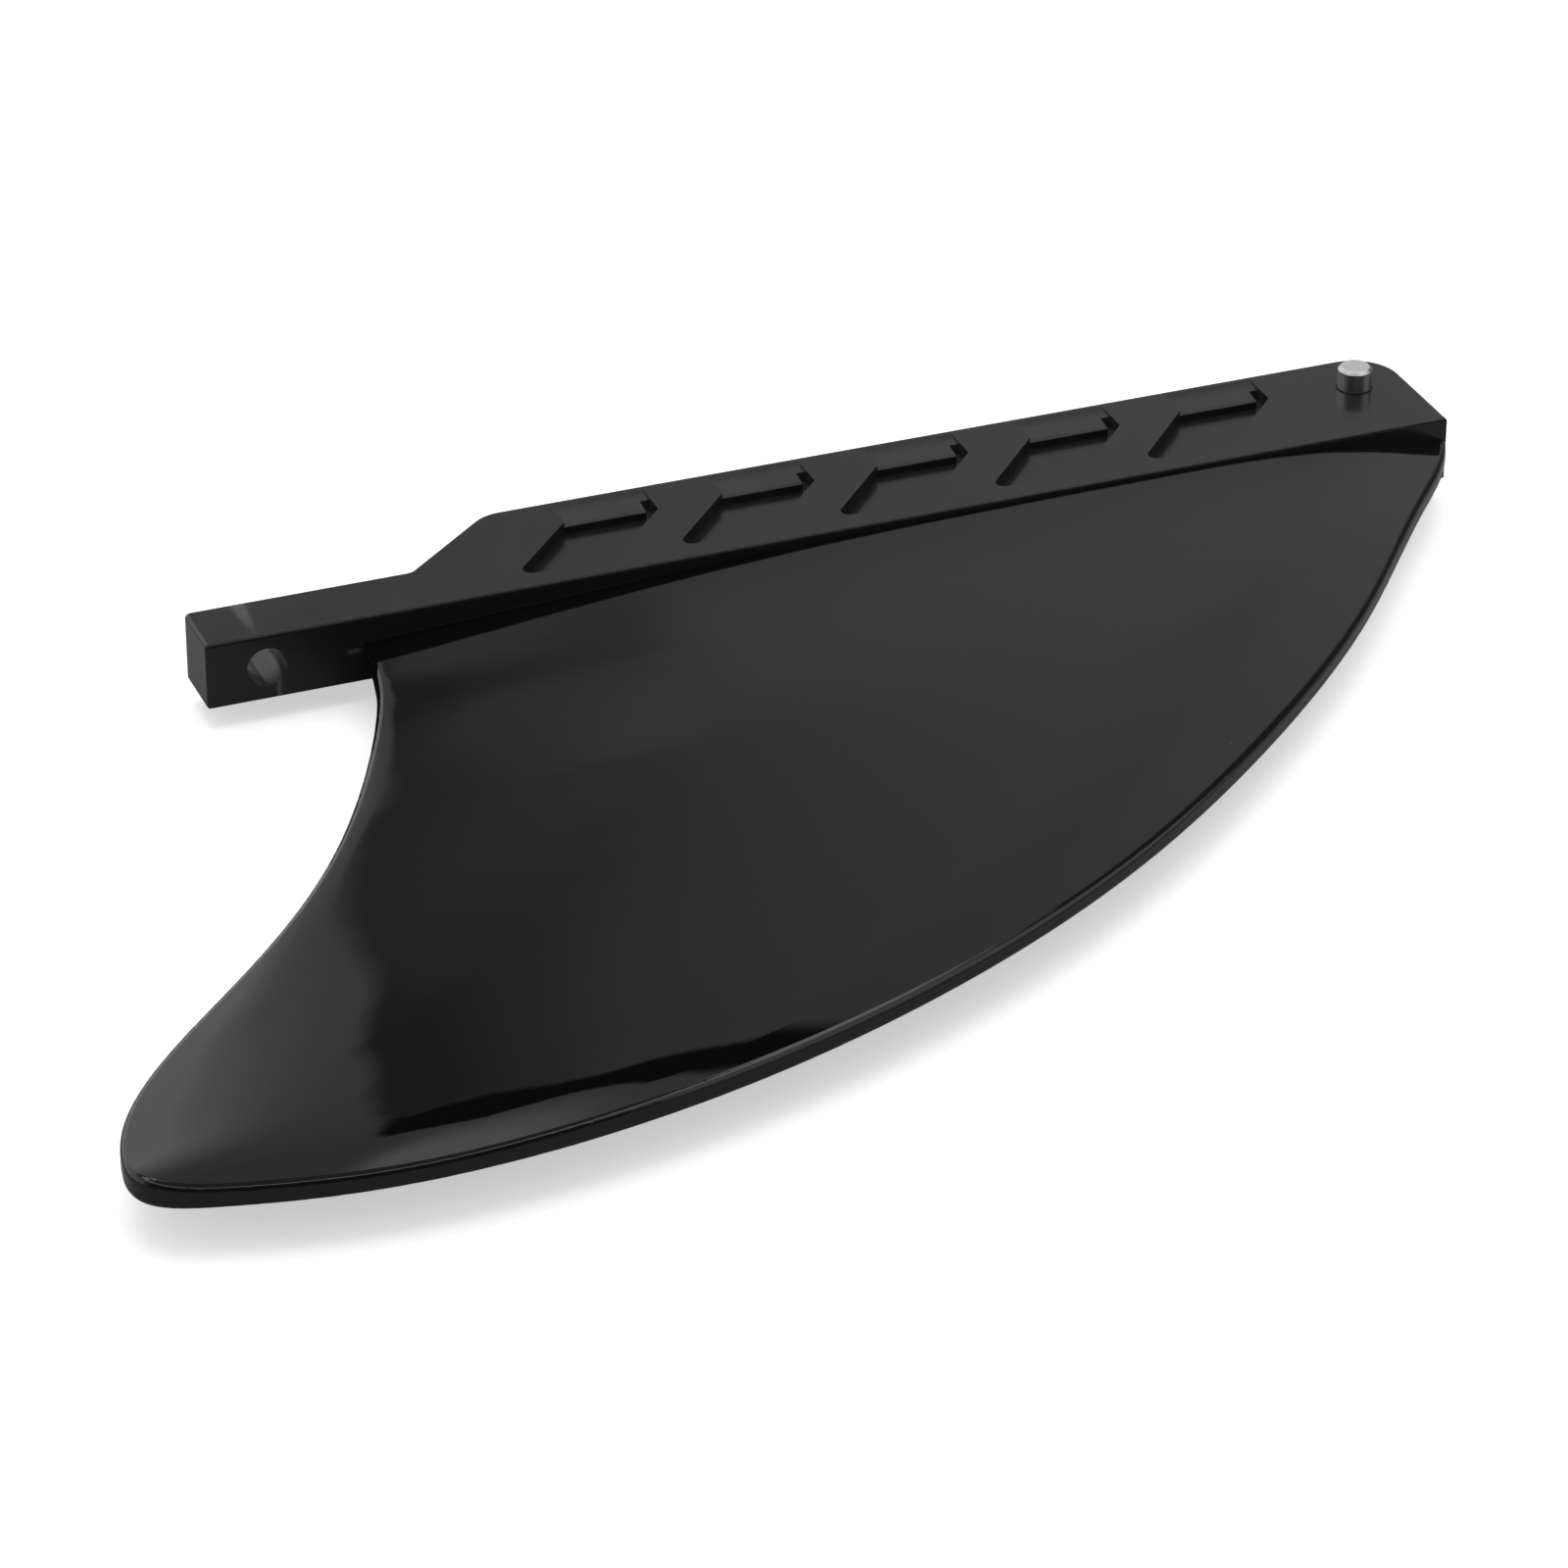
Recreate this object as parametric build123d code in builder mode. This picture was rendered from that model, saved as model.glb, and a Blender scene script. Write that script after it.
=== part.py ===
from build123d import *
import math
import os

# Raked single fin for a long slot in the underside of a surfboard.
# X runs along the tongue towards its leading end, Y points into the board,
# Z is across the thickness.  The origin is the centre of the screw hole on
# the tongue's tip-facing face.

# Tongue that sits in the slot
tongue_t = 9.5            # thickness across Z
tongue_h = 21.6           # height of the full part
tab_h = 9.7               # height of the low tab at the trailing end
front_x = 170.0           # leading end of the tongue
tab_end_x = -8.2          # trailing end of the tab
ramp_foot_x = 23.0        # where the tab rises into the full height
ramp_angle = 40.0         # degrees from X
ramp_foot_r = 2.0
ramp_head_r = 6.0
front_corner_r = 6.5      # top corner at the leading end
tab_back_r = 1.0          # corners of the tab's free end
tab_tip_r = 0.4
tongue_edge_r = 0.5       # softened edges of the two side faces

# Screw hole in the tab
screw_hole_d = 5.5

# Cross pin at the leading end: its thicker middle grips the bore, flush with
# the side faces, and the thinner ends stand free
pin_d = 4.76
pin_len = 15.9
pin_from_end = 7.7        # centre from the tongue's leading end
pin_from_back = 8.3       # and from its board-side back
pin_chamfer = 0.4
pin_grip_d = 5.16

# Grip pockets along both sides of the tongue.  Each is a slanted pocket with
# a ramped tooth in its upper part: the tooth rises towards the tongue's back
# and a slot parts it from the pocket's leading wall.
grip_count = 5
grip_pitch = 22.55
grip_x = 35.25            # trailing near corner of the first pocket
grip_y = 3.4              # near edge of the pockets
grip_w = 13.9             # width along X
grip_slant = 46.8         # slanted walls, degrees from X
pocket_depth = 1.8
pocket_corner_r = 1.2     # corners in plan
tooth_y = 15.4            # front of the tooth
tooth_h = 1.0             # height of its front above the pocket floor
tooth_back_y = 20.6       # where its ramp meets the side face
tooth_w = 11.7            # width of the tooth along X
tooth_slot_w = 1.3        # slot beside the tooth
tooth_slot_y = 18.0       # closed end of the slot

# Blade outline on the parting plane
root_trailing_x = 13.3
leading_pts = [(front_x, 0.0), (160.0, -13.8), (139.2, -38.9), (112.0, -65.2),
               (81.5, -88.2), (48.2, -105.4), (13.0, -116.3), (-18.0, -119.7),
               (-41.0, -116.4), (-51.4, -107.0)]
trailing_pts = [(-51.4, -107.0), (-45.1, -92.4), (-29.6, -75.6), (-5.2, -46.0),
                (9.9, -15.0), (root_trailing_x, 0.0)]
blade_edge_r = 0.9        # rounded rim, above and below the parting line

# Foil stations: point on the leading edge, point on the trailing edge,
# half thickness at the crest, at the leading wall and at the trailing wall
root_depth = 1.5          # the foil starts this far inside the tongue
stations = [
    ((front_x, root_depth), (root_trailing_x, root_depth), 4.1, 1.7, 1.0),
    ((135.0, -43.0), (7.3, -20.0), 3.7, 1.4, 1.0),
    ((93.0, -80.5), (-4.0, -44.0), 3.2, 1.3, 1.0),
    ((47.0, -106.0), (-20.0, -65.0), 2.7, 1.3, 1.1),
    ((-4.0, -119.0), (-37.0, -83.0), 2.3, 1.35, 1.1),
    ((-35.0, -118.0), (-49.5, -97.0), 1.9, 1.4, 1.2),
    ((-58.0, -118.0), (-62.0, -100.0), 1.6, 1.4, 1.2),
]
foil_margin = 3.0         # the foil body runs past the outline by this much
nose_at, nose_share = 0.09, 0.82
crest_at = 0.27
tail_at, tail_share = 0.62, 0.87
nose_slope, tail_slope = 0.12, 0.045

half_t = tongue_t / 2
pin_x = front_x - pin_from_end
pin_y = tongue_h - pin_from_back
slant_run = 1 / math.tan(math.radians(grip_slant))
ramp_head_x = ramp_foot_x + (tongue_h - tab_h) / math.tan(math.radians(ramp_angle))


def foil_plane(station):
    """Upright plane through a station's chord, its X from leading to trailing."""
    (lx, ly), (tx, ty), _, _, _ = station
    chord = Vector(tx - lx, ty - ly, 0)
    return Plane(origin=(lx, ly, 0), x_dir=chord, z_dir=chord.cross(Vector(0, 0, 1)))


def foil_points(station):
    """Points over the upper half of a station's section."""
    (lx, ly), (tx, ty), crest, nose, tail = station
    c = math.hypot(tx - lx, ty - ly)
    return [
        (-foil_margin, nose - nose_slope * foil_margin),
        (0, nose),
        (nose_at * c, nose_share * crest),
        (crest_at * c, crest),
        (tail_at * c, tail_share * crest),
        (c, tail),
        (c + foil_margin, tail - tail_slope * foil_margin),
    ]


with BuildPart() as blade:
    for station in stations:
        with BuildSketch(foil_plane(station)):
            with BuildLine():
                top = Spline(*foil_points(station))
                mirror(top, about=Plane.XZ)
                Line(top @ 0, Vector((top @ 0).X, -(top @ 0).Y))
                Line(top @ 1, Vector((top @ 1).X, -(top @ 1).Y))
            make_face()
    loft()
    with BuildSketch():
        with BuildLine():
            Line((root_trailing_x, root_depth), (front_x, root_depth))
            Line((front_x, root_depth), leading_pts[0])
            Spline(*leading_pts, tangents=[(-0.45, -1), (0.15, 1)])
            Spline(*trailing_pts, tangents=[(0.15, 1), (0.2, 1)])
            Line(trailing_pts[-1], (root_trailing_x, root_depth))
        make_face()
    extrude(amount=half_t, both=True, mode=Mode.INTERSECT)
    rim = faces().filter_by(lambda f: abs(f.normal_at().Z) < 0.01).edges()
    fillet([e for e in rim if e.center().Y < 0 and abs(e.center().Z) > 0.2], radius=blade_edge_r)

# Corners of a grip pocket, measured from its trailing near corner
tooth_x0 = (tooth_y - grip_y) * slant_run
slot_x1 = tooth_x0 + tooth_w + tooth_slot_w
slot_x0 = tooth_x0 + tooth_w
bend_y = grip_y + (slot_x1 - grip_w) / slant_run

with BuildPart() as grip_tool:
    with BuildSketch(Plane.XY.offset(half_t)):
        with BuildLine():
            Polyline((0, 0), (grip_w, 0), (slot_x1, bend_y - grip_y),
                     (slot_x1, tooth_slot_y - grip_y), (slot_x0, tooth_slot_y - grip_y),
                     (slot_x0, tooth_y - grip_y), (tooth_x0, tooth_y - grip_y), close=True)
        make_face()
        fillet(vertices().group_by(Axis.Y)[0], radius=pocket_corner_r)
    extrude(amount=-pocket_depth)
    with BuildSketch(Plane.YZ.offset(tooth_x0)):
        with BuildLine():
            Polyline((tooth_y - grip_y, half_t), (tooth_back_y - grip_y, half_t),
                     (tooth_y - grip_y, half_t - pocket_depth + tooth_h), close=True)
        make_face()
    extrude(amount=slot_x1 - tooth_x0)

with BuildPart() as fin:
    with BuildSketch():
        with BuildLine():
            Polyline((tab_end_x, 0), (front_x, 0), (front_x, tongue_h), (ramp_head_x, tongue_h),
                     (ramp_foot_x, tab_h), (tab_end_x, tab_h), close=True)
        make_face()
        fillet(vertices().sort_by_distance((front_x, tongue_h))[0], radius=front_corner_r)
        fillet(vertices().sort_by_distance((ramp_head_x, tongue_h))[0], radius=ramp_head_r)
        fillet(vertices().sort_by_distance((ramp_foot_x, tab_h))[0], radius=ramp_foot_r)
        fillet(vertices().sort_by_distance((tab_end_x, tab_h))[0], radius=tab_back_r)
        fillet(vertices().sort_by_distance((tab_end_x, 0))[0], radius=tab_tip_r)
    extrude(amount=half_t, both=True)
    fillet(faces().filter_by(Axis.Z).edges(), radius=tongue_edge_r)
    add(blade)
    for i in range(grip_count):
        with Locations((grip_x + i * grip_pitch, grip_y, 0)):
            add(grip_tool, mode=Mode.SUBTRACT)
            add(grip_tool.part.mirror(Plane.XY), mode=Mode.SUBTRACT)
    with Locations(Plane((0, tab_h, 0), z_dir=(0, 1, 0))):
        Hole(radius=screw_hole_d / 2, depth=tab_h)
    with Locations((pin_x, pin_y, half_t)):
        Hole(radius=pin_grip_d / 2)
fin.part.label = "fin"

with BuildPart() as cross_pin:
    with Locations((pin_x, pin_y, 0)):
        Cylinder(radius=pin_d / 2, height=pin_len)
    chamfer(edges().filter_by(GeomType.CIRCLE), length=pin_chamfer)
    with Locations((pin_x, pin_y, 0)):
        Cylinder(radius=pin_grip_d / 2, height=tongue_t)
cross_pin.part.label = "cross_pin"

os.makedirs("parts", exist_ok=True)
export_step(fin.part, "parts/fin.step")
export_step(cross_pin.part, "parts/cross_pin.step")
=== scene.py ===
import math

import bpy
from mathutils import Matrix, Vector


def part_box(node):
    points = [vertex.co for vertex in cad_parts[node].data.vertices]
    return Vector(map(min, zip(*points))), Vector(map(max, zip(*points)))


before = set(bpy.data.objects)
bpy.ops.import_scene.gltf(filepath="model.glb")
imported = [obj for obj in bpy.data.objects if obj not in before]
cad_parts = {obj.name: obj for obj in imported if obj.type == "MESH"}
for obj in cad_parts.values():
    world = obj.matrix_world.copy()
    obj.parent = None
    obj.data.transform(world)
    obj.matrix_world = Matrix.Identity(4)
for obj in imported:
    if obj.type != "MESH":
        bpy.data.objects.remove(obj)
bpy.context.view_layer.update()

bl_info = {
    "name": "Raked single fin",
    "version": (1, 0, 0),
    "blender": (4, 5, 0),
    "location": "3D View > Sidebar > Fin",
    "description": "Finishes a moulded surfboard fin and sets its studio",
    "category": "Object",
}

MM = 0.001
FIN_LOW, FIN_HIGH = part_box("fin")
PIN_LOW, PIN_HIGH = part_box("cross_pin")
FLOOR_Z = min(FIN_LOW.z, PIN_LOW.z)

# Places on the fin, in millimetres.  The root is the plane y = 0, where the blade
# leaves the tongue.  A bracketed pair is where a soft edge starts and ends.
SIDE_FACE = FIN_HIGH.z / MM
PIN_AXIS = (PIN_LOW + PIN_HIGH) / 2 / MM
PIN_END = PIN_HIGH.z / MM
ROOT_EDGE = (-0.02, -0.14)
STREAK_X, STREAK_LEAN = -1.2, 0.02
STREAK_HALF, STREAK_SPREAD = 0.25, 0.11
STREAK_START = (-0.5, 7.0)
KNIT_X, KNIT_END = 1.5, (-1.0, -2.4)
FLECK_X = 11.8
FIRST_TOOTH_X = (36.0, 40.0)
TOOTH_FOOT_Y = (15.2, 16.5)
DUST_SPECK, DUST_SHARE = (0.035, 0.018), (0.86, 0.88)
TRAILING_RIM = [(0.0, 13.3), (15.0, 9.9), (46.0, -5.2), (75.6, -29.6), (92.4, -45.1),
                (110.0, -51.5)]  # depth below the root, and X
RIM_DEPTHS, RIM_REACH = (0.0, 110.0), (-51.5, 13.5)  # ranges of the two
RIM_LEAN = 0.86           # distance from the rim for each millimetre along X
ROLL_ROOT, ROLL_GROWTH = 3.5, 5.5
ROLL_WIDENS, ROLL_FADES = (-50.0, -78.0), (-112.0, -90.0)
HOLLOW_X, HOLLOW_Y = 12.0, -8.0
# The bump's rises, in shares of its distance.  A tilt is a rise for each millimetre.
GRAIN_RISE, PARTING_DIP = 0.6, 1.2
HOLLOW_TILT, ROLL_TILT = -1.0, 0.95

# The room, in degrees: a turn from +Y towards +X and a height above the horizon.
# A bracketed pair is where a soft edge starts and ends.  Levels of light are
# shares of white.
FOLD = [(26.0, 14.21), (28.4, 14.39), (28.9, 14.64), (29.4, 15.05), (30.0, 15.1),
        (31.0, 15.64), (32.2, 16.16), (35.3, 17.1), (39.3, 18.2), (46.0, 19.7)]
FOLD_HEIGHTS, FOLD_TURNS = (26.0, 46.0), (13.6, 19.7)  # ranges of the two
FOLD_EDGE = (-0.25, 0.2)
SHADES = [(0.0, 0.122), (1.0, 0.134), (2.0, 0.207), (3.0, 0.293), (4.0, 0.366),
          (5.8, 0.415), (9.0, 0.488), (16.1, 0.525), (24.0, 0.647)]  # past the fold
SHADES_FOOT, FOOT_SHIFT, FOOT_GAIN = (30.5, 29.0), 1.3, 0.08
BACKDROP_END, END_LEVEL = (43.0, 62.0), 0.14
LEFT_TURN, LEFT_LEVEL, LEFT_BRIGHTEST = 15.0, 0.48, 1.3
GAP_EDGE, GAP_END, GAP_LEVEL = (-0.35, 0.4), (60.0, 40.0), 0.012
BOX_EDGE, BOX_LEVEL = (-0.25, 0.25), 0.58
BOX_RISE, BOX_GAIN = (0.0, 6.0), 0.77
BOX_LEFT, BOX_LEFT_LEVEL = (19.0, 21.5), 0.48
BEHIND, BEHIND_LEVEL = (75.0, 110.0), 0.11
WALL_TURN, WALL_FOOT, WALL_LEVEL = 116.0, (-2.0, 4.0), 1.1
OVERHEAD, OVERHEAD_LEVEL = (49.0, 55.0), 2.6
ZENITH, ZENITH_LEVEL = (58.0, 64.0), 0.3
FILL_LEVEL = 0.6          # what the room gives dull surfaces from all sides


class Value:
    """A number or vector on a node's socket. Arithmetic on it adds Math nodes."""

    def __init__(self, nodes, socket):
        self.nodes = nodes
        self.socket = socket

    def _math(self, operation, *given):
        return self.nodes.add("Math", {"operation": operation}, dict(enumerate(given)))

    def __add__(self, other):
        return self._math("ADD", self, other)

    def __radd__(self, other):
        return self._math("ADD", other, self)

    def __sub__(self, other):
        return self._math("SUBTRACT", self, other)

    def __rsub__(self, other):
        return self._math("SUBTRACT", other, self)

    def __mul__(self, other):
        return self._math("MULTIPLY", self, other)

    def __rmul__(self, other):
        return self._math("MULTIPLY", other, self)

    def __truediv__(self, other):
        return self._math("DIVIDE", self, other)

    def __pow__(self, other):
        return self._math("POWER", self, other)

    def __neg__(self):
        return self._math("MULTIPLY", self, -1.0)

    def __abs__(self):
        return self._math("ABSOLUTE", self)

    def at_least(self, other):
        return self._math("MAXIMUM", self, other)

    def at_most(self, other):
        return self._math("MINIMUM", self, other)

    def clamped(self):
        return self.nodes.add("Clamp", {}, {"Value": self})


class Nodes:
    """Adds nodes to one tree, each from its type, settings and inputs."""

    def __init__(self, tree):
        self.tree = tree
        tree.nodes.clear()

    def add(self, kind, settings, inputs, out=0):
        node = self.tree.nodes.new("ShaderNode" + kind)
        for name, setting in settings.items():
            if name == "stops":
                self._set_stops(node.color_ramp, setting)
            elif name == "curve":
                self._set_curve(node.mapping, setting)
            else:
                setattr(node, name, setting)
        for name, given in inputs.items():
            if isinstance(given, Value):
                self.tree.links.new(given.socket, node.inputs[name])
            else:
                node.inputs[name].default_value = given
        return Value(self, node.outputs[out]) if len(node.outputs) else None

    @staticmethod
    def _set_stops(ramp, stops):
        while len(ramp.elements) < len(stops):
            ramp.elements.new(1.0)
        for element, (position, level) in zip(ramp.elements, stops):
            element.position = position
            element.color = grey(level)

    @staticmethod
    def _set_curve(mapping, points):
        curve = mapping.curves[0]
        while len(curve.points) < len(points):
            curve.points.new(0.5, 0.5)
        for point, place in zip(curve.points, points):
            point.location = place
        mapping.update()

    def step(self, value, low, high):
        """Rises smoothly from 0 at low to 1 at high, or falls if high is lower."""
        return self.add("MapRange", {"interpolation_type": "SMOOTHSTEP"},
                        {"Value": value, "From Min": low, "From Max": high})

    def near(self, value, centre, outer, inner):
        """1 within inner of the centre, falling smoothly to 0 at outer."""
        return self.step(abs(value - centre), outer, inner)

    def curve(self, value, points, inputs, outputs):
        """A smooth curve through points, drawn over a range of inputs and outputs."""
        start, span = inputs[0], inputs[1] - inputs[0]
        base, rise = outputs[0], outputs[1] - outputs[0]
        places = [((a - start) / span, (b - base) / rise) for a, b in points]
        share = self.add("FloatCurve", {"curve": places},
                         {"Value": ((value - start) / span).clamped()})
        return share * rise + base

    def ramp(self, value, stops):
        """A level blended between stops, each given at its value. The first is 0."""
        reach = stops[-1][0]
        places = [(at / reach, level) for at, level in stops]
        return self.add("ValToRGB", {"stops": places}, {"Fac": value / reach})

    def mix(self, factor, a, b):
        """a where factor is 0 and b where it is 1, for numbers."""
        return self.add("Mix", {"data_type": "FLOAT"}, {0: factor, 2: a, 3: b})

    def mix_colour(self, factor, a, b):
        return self.add("Mix", {"data_type": "RGBA"}, {0: factor, 6: a, 7: b}, out=2)

    def noise(self, vector, scale, detail):
        """Noise from 0 to 1, with scale patches to a millimetre or a degree."""
        return self.add("TexNoise", {},
                        {"Vector": vector, "Scale": scale, "Detail": detail})

    def vector(self, x=0.0, y=0.0, z=0.0):
        return self.add("CombineXYZ", {}, {0: x, 1: y, 2: z})

    def axes(self, vector):
        """The three components of a vector."""
        parts = self.add("SeparateXYZ", {}, {0: vector})
        return [Value(self, s) for s in parts.socket.node.outputs]

    def place(self):
        """The place on the piece's own mesh, in millimetres."""
        metres = self.add("TexCoord", {}, {}, out="Object")
        return self.add("VectorMath", {"operation": "SCALE"}, {0: metres, "Scale": 1 / MM})

    def stretched(self, vector, factors):
        return self.add("VectorMath", {"operation": "MULTIPLY"}, {0: vector, 1: factors})

    def ray(self, kind):
        """1 for rays of one kind, such as those from the camera, and 0 for others."""
        return self.add("LightPath", {}, {}, out=f"Is {kind} Ray")


def grey(level):
    return (level, level, level, 1.0)


def opaque(colour):
    return (*colour, 1.0)


def new_material(name):
    """A node material and its node helper."""
    material = bpy.data.materials.new(name)
    material.use_nodes = True
    return material, Nodes(material.node_tree)


def give(piece, material):
    piece.data.materials.clear()
    piece.data.materials.append(material)


class MouldingSettings(bpy.types.PropertyGroup):
    blade_colour: bpy.props.FloatVectorProperty(
        name="Blade colour", description="Colour of the polished plastic",
        subtype="COLOR", size=3, min=0, max=1, default=(0.0024, 0.0024, 0.0025))
    tongue_colour: bpy.props.FloatVectorProperty(
        name="Tongue colour", description="Colour of the satin plastic",
        subtype="COLOR", size=3, min=0, max=1, default=(0.009, 0.009, 0.0092))
    blade_roughness: bpy.props.FloatProperty(
        name="Blade roughness", description="Roughness of the polished blade",
        min=0, max=1, default=0.018)
    tongue_roughness: bpy.props.FloatProperty(
        name="Tongue roughness", description="Roughness of the satin tongue",
        min=0, max=1, default=0.22)
    parting_width: bpy.props.FloatProperty(
        name="Parting line", description="Width of the parting line on the rim",
        unit="LENGTH", default=0.22 * MM)
    # Painted sheen: the tops of the teeth are painted a lighter grey to stand in for the
    # reflection they catch.
    teeth_painted_sheen: bpy.props.FloatProperty(
        name="Tooth haze", description="Greyness of the teeth in the grip pockets",
        min=0, max=1, default=0.028)
    # Painted highlight: the flow marks are painted a lighter grey to stand in for the
    # glint along the streak and the knit line.
    flow_mark_glint: bpy.props.FloatProperty(
        name="Flow mark", description="Greyness of the flow marks by the screw hole",
        min=0, max=1, default=0.096)
    dust: bpy.props.FloatProperty(
        name="Dust", description="Greyness of the dust on the blade",
        min=0, max=1, default=0.25)


class PinSettings(bpy.types.PropertyGroup):
    colour: bpy.props.FloatVectorProperty(
        name="Colour", description="Colour of the steel",
        subtype="COLOR", size=3, min=0, max=1, default=(0.62, 0.62, 0.63))
    # Painted highlight: the cut ends are painted near white, brighter than the rod's
    # steel, to stand in for the light they mirror.
    end_highlight_colour: bpy.props.FloatVectorProperty(
        name="End colour", description="Colour of the bright cut ends",
        subtype="COLOR", size=3, min=0, max=1, default=(0.95, 0.95, 0.95))
    # Painted shade: the steel is painted dark in a ring where the pin leaves the tongue,
    # standing in for the shade around its base.
    seat_shade_colour: bpy.props.FloatVectorProperty(
        name="Seat colour", description="Colour of the dull ring where the pin stands out",
        subtype="COLOR", size=3, min=0, max=1, default=(0.04, 0.04, 0.04))
    roughness: bpy.props.FloatProperty(
        name="Roughness", description="Roughness of the drawn rod",
        min=0, max=1, default=0.28)


class StageSettings(bpy.types.PropertyGroup):
    camera_place: bpy.props.FloatVectorProperty(
        name="Camera", description="Place of the camera", subtype="TRANSLATION",
        size=3, default=(-0.207667, -0.698752, 0.402141))
    camera_heading: bpy.props.FloatProperty(
        name="Heading", description="Turn of the camera towards +X from +Y",
        subtype="ANGLE", default=math.radians(21.812))
    camera_drop: bpy.props.FloatProperty(
        name="Drop", description="Angle of the camera below the horizon",
        subtype="ANGLE", default=math.radians(30.014))
    camera_roll: bpy.props.FloatProperty(
        name="Roll", description="Roll of the camera about its own axis",
        subtype="ANGLE", default=math.radians(0.17))
    sensor: bpy.props.FloatProperty(
        name="Sensor", description="Width of the camera's sensor, in millimetres",
        default=36.0)
    lens: bpy.props.FloatProperty(
        name="Lens", description="Focal length, in millimetres", default=147.36)
    floor_colour: bpy.props.FloatVectorProperty(
        name="Floor", description="Colour of the floor",
        subtype="COLOR", size=3, min=0, max=1, default=(0.35, 0.35, 0.35))
    floor_glow: bpy.props.FloatProperty(
        name="Floor glow", description="Light the floor adds for the camera alone",
        min=0, max=1, default=0.5)
    floor_size: bpy.props.FloatProperty(
        name="Floor size", description="Side of the floor", unit="LENGTH", default=6.0)
    lamp_power: bpy.props.FloatProperty(
        name="Lamp", description="Power of the soft lamp in watts", default=9.0)
    lamp_size: bpy.props.FloatProperty(
        name="Lamp size", description="Side of the soft lamp", unit="LENGTH", default=1.4)
    lamp_place: bpy.props.FloatVectorProperty(
        name="Lamp place", description="Place of the soft lamp", subtype="TRANSLATION",
        size=3, default=(0.25, 0.25, 1.3))


class FIN_OT_moulding(bpy.types.Operator):
    """Give the moulded fin its polished blade and satin tongue"""

    bl_idname = "fin.moulding"
    bl_label = "Finish the moulding"

    def execute(self, context):
        s = context.scene.fin_moulding
        material, n = new_material("moulded_plastic")
        place = n.place()
        x, y, z = n.axes(place)
        blade = n.step(y, *ROOT_EDGE)
        grain = n.noise(place, scale=2.2, detail=3.0)
        cloud = n.noise(place, scale=0.09, detail=2.0)
        sweep = n.noise(n.stretched(place, (0.05, 1.1, 1.0)), scale=0.5, detail=3.0)
        # Moulding marks by the screw hole, with a painted highlight on the streak and the
        # knit line.
        marks_and_glints = self.flow_marks_and_glints(n, x, y, z, grain)
        # Painted sheen: a lighter grey on the teeth tops near the side faces, standing in
        # for a reflection.
        teeth_sheen = (n.step(x, *FIRST_TOOTH_X) * n.step(y, *TOOTH_FOOT_Y)
                 * n.step(abs(z), SIDE_FACE - 0.03, SIDE_FACE - 0.35))
        dust = self.dust(n, place) * blade
        parting = n.step(abs(z), s.parting_width / MM, s.parting_width / MM * 0.3)

        base = n.mix_colour(blade, opaque(s.tongue_colour), opaque(s.blade_colour))
        base = n.mix_colour(teeth_sheen, base, grey(s.teeth_painted_sheen))
        base = n.mix_colour(marks_and_glints, base, grey(s.flow_mark_glint))
        base = n.mix_colour(dust, base, grey(s.dust))
        satin = s.tongue_roughness + (cloud - 0.5) * 0.10 + (grain - 0.5) * 0.08
        gloss = s.blade_roughness + (sweep - 0.5) * 0.01 + dust * 0.4 + parting * 0.2
        height = ((grain - 0.5) * (1 - blade) * GRAIN_RISE - parting * PARTING_DIP
                  + dust + self.blade_shape(n, x, y) * blade)
        normal = n.add("Bump", {}, {
            "Height": height, "Strength": 0.25, "Distance": 0.05 * MM})
        shader = n.add("BsdfPrincipled", {}, {
            "Base Color": base, "Roughness": n.mix(blade, satin, gloss),
            "Normal": normal, "IOR": 1.5})
        n.add("OutputMaterial", {}, {"Surface": shader})
        give(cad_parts["fin"], material)
        return {"FINISHED"}

    @staticmethod
    def flow_marks_and_glints(n, x, y, z, grain):
        """A slanted streak beside the screw hole on both side faces and a short knit
        line from the hole to the lower edge, real moulding marks with a painted
        highlight on them, and a fleck towards the blade."""
        wander = (grain - 0.5) * 0.5
        streak_middle = STREAK_X + STREAK_LEAN * y + wander * 0.6
        streak_half = STREAK_HALF + STREAK_SPREAD * y
        streak = (n.step(abs(x - streak_middle) / streak_half, 1.3, 0.3)
                  * n.step(y, *STREAK_START)
                  * n.step(abs(z), SIDE_FACE - 0.6, SIDE_FACE - 0.05))
        root_face = n.near(y, 0.0, outer=0.3, inner=0.02)
        knit_glint = (n.near(x + wander, KNIT_X, outer=0.45, inner=0.1)
                * n.step(z, *KNIT_END) * root_face)
        fleck = (n.near(x, FLECK_X, outer=1.3, inner=0.3)
                 * n.near(z, 0.0, outer=0.6, inner=0.1) * root_face)
        # The streak and the knit line carry a painted highlight; the fleck is only a mark.
        marks_and_glints = streak * 0.7 + knit_glint * 0.8 + fleck * 0.6
        return (marks_and_glints * (0.6 + grain * 0.6)).clamped()

    @staticmethod
    def dust(n, place):
        """Sparse specks, in one of about eight cells of a Voronoi pattern."""
        cells = {"Vector": place, "Scale": 0.16}
        from_centre = n.add("TexVoronoi", {}, cells)
        luck = n.axes(n.add("TexVoronoi", {}, cells, out="Color"))[0]
        return n.step(from_centre, *DUST_SPECK) * n.step(luck, *DUST_SHARE)

    @staticmethod
    def blade_shape(n, x, y):
        """The blade is slightly hollow at its root and rolls off to its trailing rim."""
        hollow = (n.near(x, HOLLOW_X, outer=44.0, inner=8.0)
                  * n.near(y, HOLLOW_Y, outer=36.0, inner=10.0))
        rim_x = n.curve(-y, TRAILING_RIM, RIM_DEPTHS, RIM_REACH)
        inside = (x - rim_x) * RIM_LEAN
        reach = ROLL_ROOT + n.step(y, *ROLL_WIDENS) * ROLL_GROWTH
        roll = (1 - inside / reach).clamped() ** 3 * reach * n.step(y, *ROLL_FADES)
        return (x - HOLLOW_X) * hollow * HOLLOW_TILT - roll * ROLL_TILT


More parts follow.
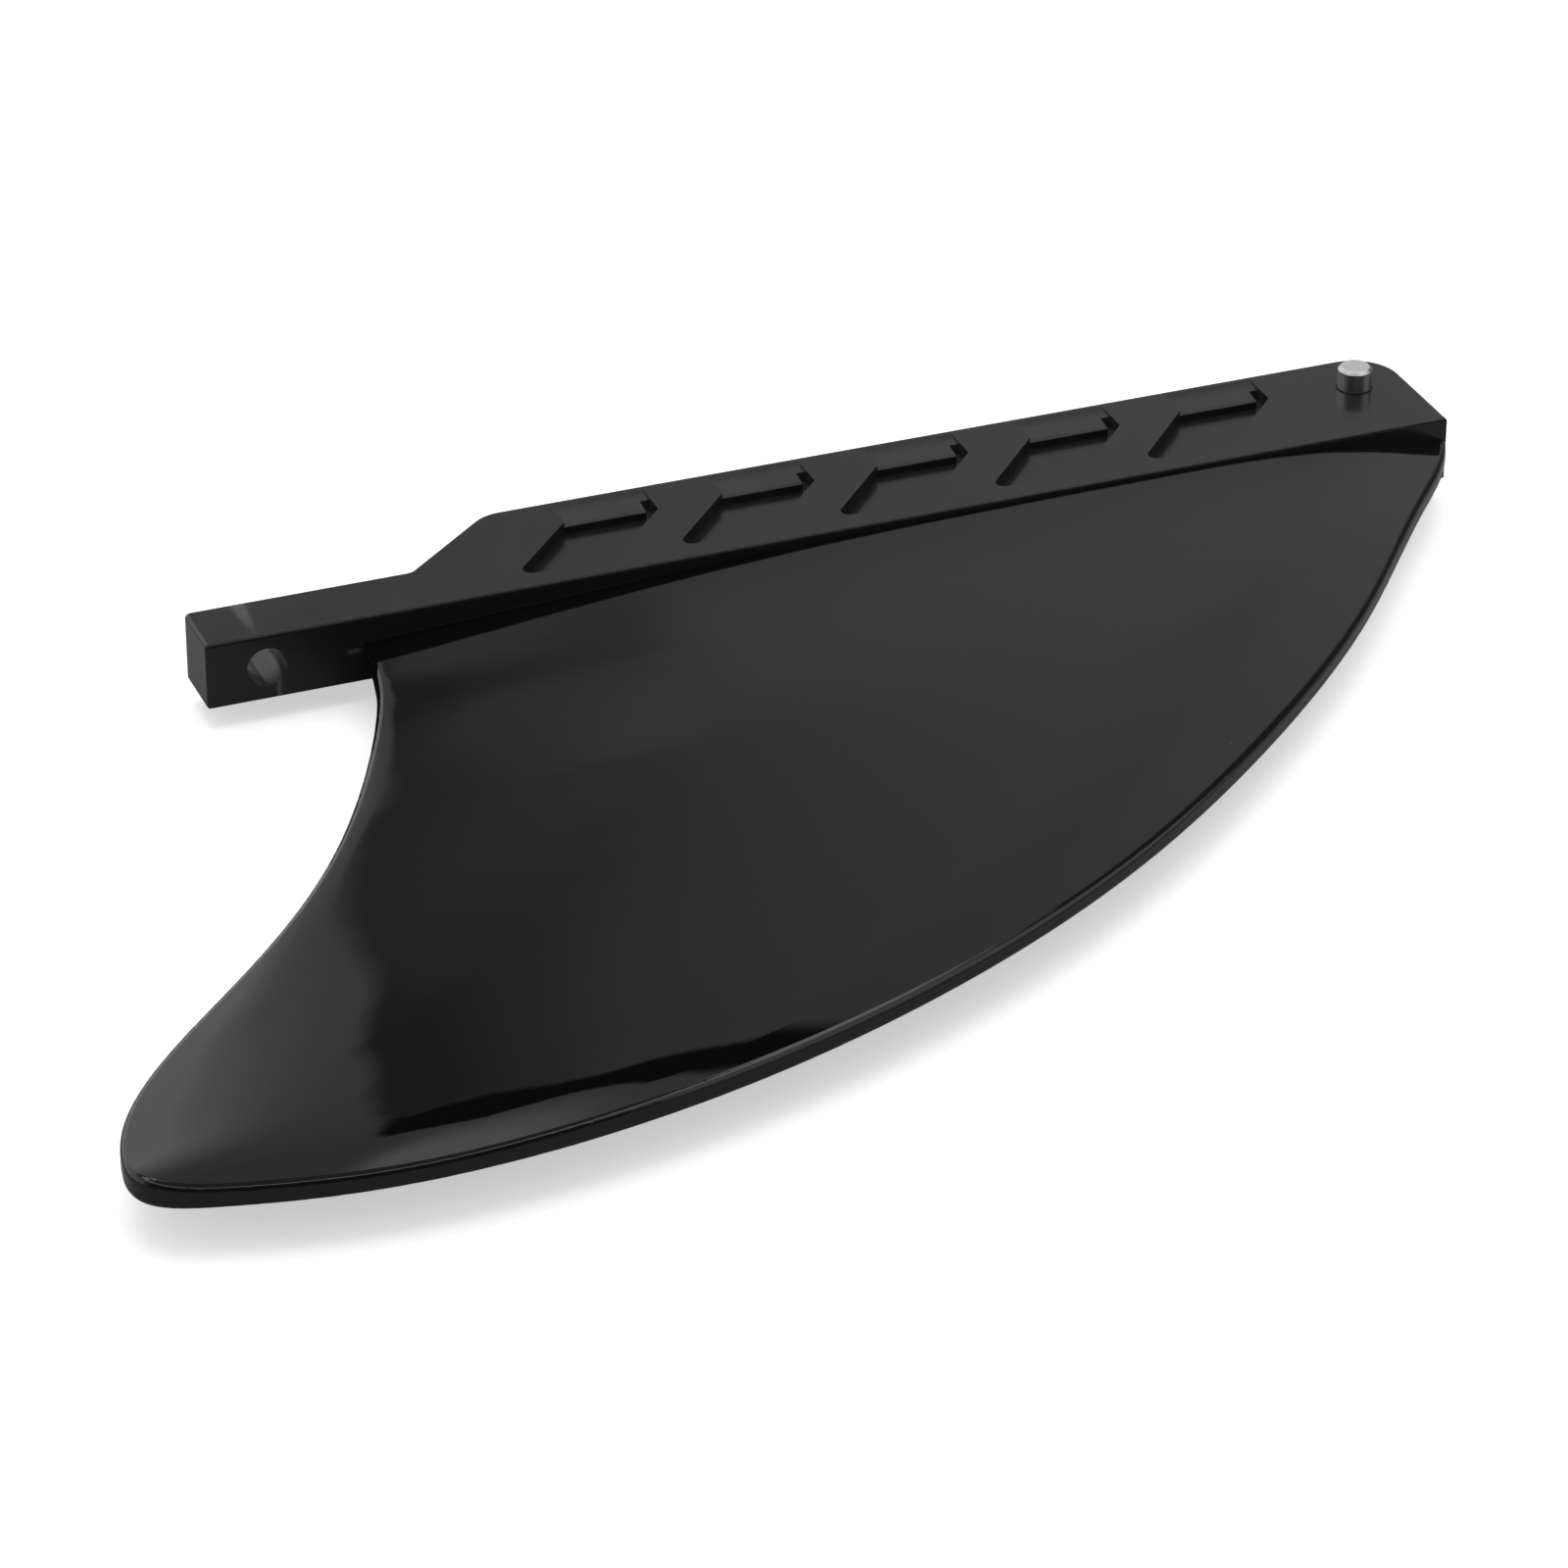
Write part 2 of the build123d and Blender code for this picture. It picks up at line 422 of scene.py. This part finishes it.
class FIN_OT_pin(bpy.types.Operator):
    """Give the cross pin its drawn steel"""

    bl_idname = "fin.pin"
    bl_label = "Finish the cross pin"

    def execute(self, context):
        s = context.scene.fin_pin
        material, n = new_material("drawn_steel")
        place = n.place()
        x, y, z = n.axes(place)
        from_axis = ((x - PIN_AXIS.x) ** 2 + (y - PIN_AXIS.y) ** 2) ** 0.5
        end = n.step(abs(z), PIN_END - 0.1, PIN_END - 0.01)
        # Painted shade in a ring at the pin's base; the ring is also rougher.
        seat_shade = n.step(abs(z), SIDE_FACE + 0.25, SIDE_FACE + 0.02)
        drawn = n.noise(n.stretched(place, (6.0, 6.0, 0.35)), scale=1.0, detail=3.0)
        turned = n.noise(n.vector(x=from_axis * 7.0), scale=1.0, detail=2.0)
        mark = n.mix(end, drawn, turned)

        base = n.mix_colour(mark, opaque([c * 0.82 for c in s.colour]), opaque(s.colour))
        # Painted highlight on the cut ends, which are real faces of the pin.
        base = n.mix_colour(end, base, opaque(s.end_highlight_colour))
        base = n.mix_colour(seat_shade, base, opaque(s.seat_shade_colour))
        normal = n.add("Bump", {}, {
            "Height": mark, "Strength": 0.2, "Distance": 0.03 * MM})
        shader = n.add("BsdfPrincipled", {}, {
            "Base Color": base, "Metallic": 1.0,
            "Roughness": s.roughness + mark * 0.1 + seat_shade * 0.4, "Normal": normal})
        n.add("OutputMaterial", {}, {"Surface": shader})
        give(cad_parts["cross_pin"], material)
        return {"FINISHED"}


class FIN_OT_stage(bpy.types.Operator):
    """Set the floor, the studio light and the camera"""

    bl_idname = "fin.stage"
    bl_label = "Set the stage"

    def execute(self, context):
        s = context.scene.fin_stage
        self.lay_floor(context, s)
        self.hang_lamp(context, s)
        self.light_room(context)
        self.place_camera(context, s)
        context.scene.view_settings.view_transform = "Standard"
        return {"FINISHED"}

    @staticmethod
    def lay_floor(context, s):
        half = s.floor_size / 2
        mesh = bpy.data.meshes.new("floor")
        corners = [(-half, -half, FLOOR_Z), (half, -half, FLOOR_Z),
                   (half, half, FLOOR_Z), (-half, half, FLOOR_Z)]
        mesh.from_pydata(corners, [], [(0, 1, 2, 3)])
        floor = bpy.data.objects.new("floor", mesh)
        context.scene.collection.objects.link(floor)
        material, n = new_material("floor_paper")
        seen = n.ray("Camera")
        colour = n.mix_colour(seen, opaque(s.floor_colour), grey(1.0))
        paper = n.add("BsdfDiffuse", {}, {"Color": colour})
        glow = n.add("Emission", {}, {"Strength": seen * s.floor_glow})
        shader = n.add("AddShader", {}, {0: paper, 1: glow})
        n.add("OutputMaterial", {}, {"Surface": shader})
        give(floor, material)

    @staticmethod
    def hang_lamp(context, s):
        lamp = bpy.data.lights.new("soft_lamp", "AREA")
        lamp.shape = "SQUARE"
        lamp.size = s.lamp_size
        lamp.energy = s.lamp_power
        holder = bpy.data.objects.new("soft_lamp", lamp)
        holder.matrix_world = Matrix.Translation(s.lamp_place)
        holder.visible_glossy = False
        context.scene.collection.objects.link(holder)

    def light_room(self, context):
        """The room is white to the camera, even to dull surfaces, and shaded to
        polished ones, which mirror it."""
        world = bpy.data.worlds.new("studio")
        context.scene.world = world
        world.use_nodes = True
        n = Nodes(world.node_tree)
        dx, dy, dz = n.axes(n.add("TexCoord", {}, {}, out="Generated"))
        degrees = 180 / math.pi
        height = n.add("Math", {"operation": "ARCSINE"}, {0: dz}) * degrees
        turn = n.add("Math", {"operation": "ARCTAN2"}, {0: dx, 1: dy}) * degrees

        past = turn - self.fold(n, height)
        right_of_fold = n.step(past, *FOLD_EDGE)
        room = self.backdrop(n, turn, height, past, right_of_fold)
        room = self.soft_box(n, turn, height, right_of_fold, room)
        room = n.mix(n.step(abs(turn), *BEHIND), room, BEHIND_LEVEL)
        right_wall = (n.near(turn, WALL_TURN, outer=30.0, inner=22.0)
                      * n.step(height, *WALL_FOOT))
        room = n.mix(right_wall, room, WALL_LEVEL)
        room = n.mix(n.step(height, *OVERHEAD), room, OVERHEAD_LEVEL)
        room = n.mix(n.step(height, *ZENITH), room, ZENITH_LEVEL)

        level = n.mix(n.ray("Diffuse"), room, FILL_LEVEL)
        level = n.mix(n.ray("Camera").at_least(n.ray("Transmission")), level, 1.0)
        background = n.add("Background", {}, {"Strength": level})
        n.add("OutputWorld", {}, {"Surface": background})

    @staticmethod
    def fold(n, height):
        """The turn of the backdrop's fold, with a slight ripple along it."""
        ripple = (n.noise(n.vector(z=height), scale=0.7, detail=0.0) - 0.5) * 0.25
        return n.curve(height, FOLD, FOLD_HEIGHTS, FOLD_TURNS) + ripple

    @staticmethod
    def backdrop(n, turn, height, past, right_of_fold):
        """Grey backdrop: bright to the left of its fold, shaded to the right."""
        foot = n.step(height, *SHADES_FOOT)
        shaded = n.ramp(past + foot * FOOT_SHIFT, SHADES) * (1 + foot * FOOT_GAIN)
        shaded = n.mix(n.step(turn, *BACKDROP_END), shaded, END_LEVEL)
        left = (LEFT_TURN - turn).at_least(0.0)
        bright = (LEFT_LEVEL + left * 0.09 + left ** 3 * 0.025).at_most(LEFT_BRIGHTEST)
        return n.mix(right_of_fold, bright, shaded)

    @staticmethod
    def soft_box(n, turn, height, right_of_fold, backdrop):
        """A big soft box over the backdrop, with a dark gap under it."""
        gap_foot = (37.3 + (turn - 19.5) * 0.68).at_least(37.2).at_most(44.7)
        gap = (n.step(height - gap_foot, *GAP_EDGE) * right_of_fold
               * n.step(turn, *GAP_END))
        lift = (turn - 20).at_least(0.0)
        box_foot = (41.9 + lift * 0.1 + lift * lift * 0.058).at_most(46.8)
        above = height - box_foot
        glow = BOX_LEVEL + n.step(above, *BOX_RISE) * BOX_GAIN
        box = n.mix(n.step(turn, *BOX_LEFT), BOX_LEFT_LEVEL, glow)
        return n.mix(n.step(above, *BOX_EDGE), n.mix(gap, backdrop, GAP_LEVEL), box)

    @staticmethod
    def place_camera(context, s):
        lens = bpy.data.cameras.new("camera")
        lens.sensor_width = s.sensor
        lens.lens = s.lens
        lens.clip_start = 0.05
        camera = bpy.data.objects.new("camera", lens)
        camera.matrix_world = (
            Matrix.Translation(s.camera_place)
            @ Matrix.Rotation(-s.camera_heading, 4, "Z")
            @ Matrix.Rotation(math.radians(90) - s.camera_drop, 4, "X")
            @ Matrix.Rotation(s.camera_roll, 4, "Z"))
        context.scene.collection.objects.link(camera)
        context.scene.camera = camera


class FIN_PT_panel(bpy.types.Panel):
    """The fin's finishing steps"""

    bl_idname = "FIN_PT_panel"
    bl_label = "Fin"
    bl_space_type = "VIEW_3D"
    bl_region_type = "UI"
    bl_category = "Fin"

    def draw(self, context):
        for kind, group, operator in STEPS:
            box = self.layout.box()
            settings = getattr(context.scene, group)
            for name in kind.__annotations__:
                box.prop(settings, name)
            box.operator(operator.bl_idname)


STEPS = [
    (MouldingSettings, "fin_moulding", FIN_OT_moulding),
    (PinSettings, "fin_pin", FIN_OT_pin),
    (StageSettings, "fin_stage", FIN_OT_stage),
]


def register():
    for kind, group, operator in STEPS:
        bpy.utils.register_class(kind)
        setattr(bpy.types.Scene, group, bpy.props.PointerProperty(type=kind))
        bpy.utils.register_class(operator)
    bpy.utils.register_class(FIN_PT_panel)


def unregister():
    bpy.utils.unregister_class(FIN_PT_panel)
    for kind, group, operator in reversed(STEPS):
        bpy.utils.unregister_class(operator)
        delattr(bpy.types.Scene, group)
        bpy.utils.unregister_class(kind)


def main():
    register()
    bpy.ops.fin.moulding()
    bpy.ops.fin.pin()
    bpy.ops.fin.stage()


if __name__ == "__main__":
    main()
